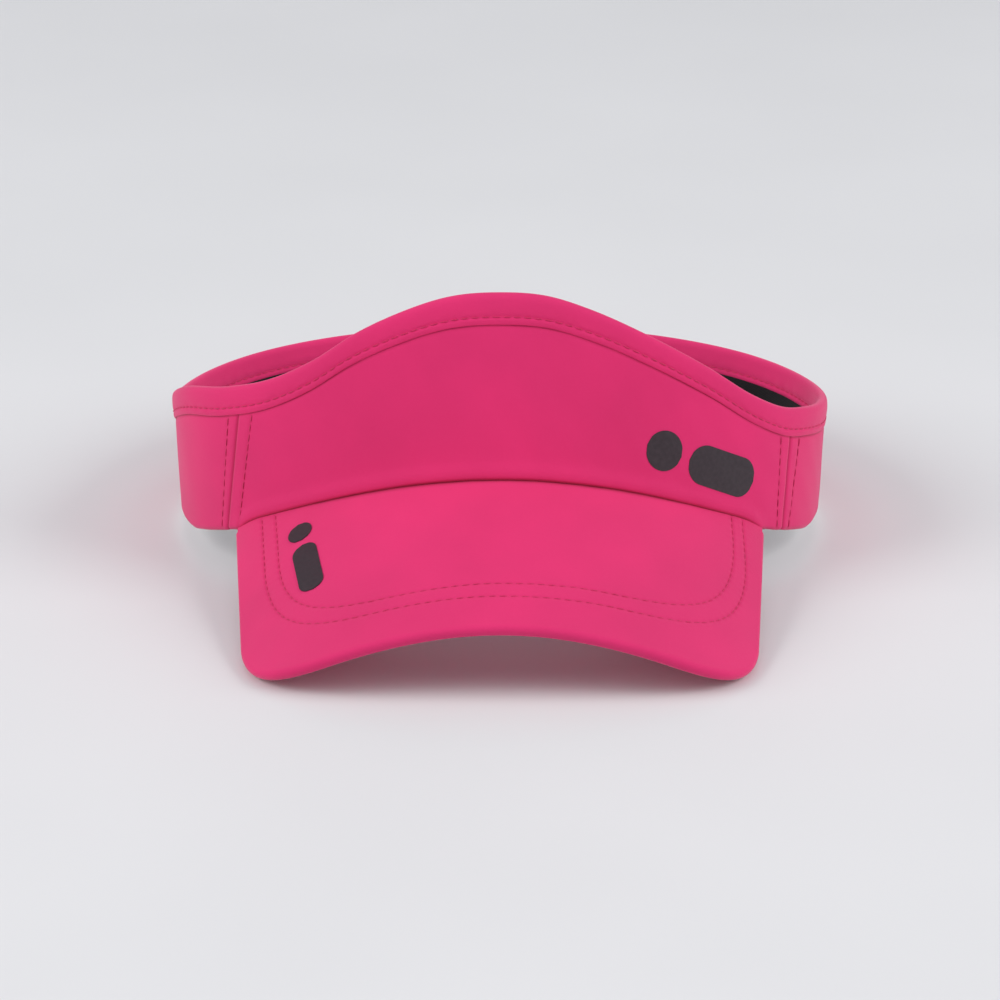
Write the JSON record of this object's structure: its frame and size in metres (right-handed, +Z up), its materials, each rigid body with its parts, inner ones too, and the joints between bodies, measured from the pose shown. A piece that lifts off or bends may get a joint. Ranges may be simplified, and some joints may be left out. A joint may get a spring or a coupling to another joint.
{
  "type": "sun visor",
  "caption": "Open-crown sports sun visor: tall front band, curved stiff brim, inner sweatband and a hook-and-loop strap that passes through a ring at the back.",
  "frame": {"origin": "middle of the bounding box at the level surface that the visor stands on", "axes": "+Z up, -Y the way the wearer looks and the brim points, +X towards the wearer's left"},
  "size_m": [0.2048, 0.2256, 0.0953],
  "materials": {
    "shell_cloth": "matte pink microfibre, fine plain weave",
    "lining_cloth": "matte pink lining cloth",
    "interlining": "white non-woven interlining",
    "foam": "soft open-cell foam",
    "sweatband_cloth": "black brushed wicking knit",
    "label": "white satin ribbon, blank",
    "board": "flexible brim board",
    "webbing": "flat woven tape",
    "loop_pile": "black brushed loop pile",
    "hook_tape": "black moulded hooks",
    "rubber": "soft moulded rubber",
    "ring_plastic": "satin black moulded plastic",
    "thread": "polyester sewing thread",
    "mark_film": "dark grey heat-transfer film"
  },
  "bodies": {
    "band": {"front_panel": "shell_cloth", "left_side_panel": "shell_cloth", "right_side_panel": "shell_cloth", "top_binding": "shell_cloth", "front_interlining": "interlining", "left_side_interlining": "interlining", "right_side_interlining": "interlining", "left_seam_tape": "lining_cloth", "right_seam_tape": "lining_cloth", "front_lining": "lining_cloth", "sweatband_foam": "foam", "sweatband": "sweatband_cloth", "care_label": "label", "brim_top_cover": "shell_cloth", "brim_board": "board", "brim_bottom_cover": "shell_cloth", "strap": "webbing", "loop_tape": "loop_pile", "ring_tab": "webbing", "left_bartack": "thread", "right_bartack": "thread", "front_mark_dot": "mark_film", "front_mark_bar": "mark_film", "brim_mark_dot": "mark_film", "brim_mark_bar": "mark_film"},
    "ring": {"ring": "ring_plastic", "strap_fold": "webbing"},
    "flap": {"strap_flap": "webbing", "hook_tape": "hook_tape", "pull_tab": "rubber"}
  },
  "joints": [
    {"name": "ring_swing", "type": "hinge", "parent": "band", "child": "ring", "pos_m": [0.03286, 0.10481, 0.01315], "axis": [-0.0143, -0.1124, -0.9936], "range_deg": [0, 15]},
    {"name": "flap_peel", "type": "hinge", "parent": "ring", "child": "flap", "pos_m": [0.02093, 0.11101, 0.01276], "axis": [-0.0089, -0.1144, -0.9934], "range_deg": [0, 135]}
  ]
}
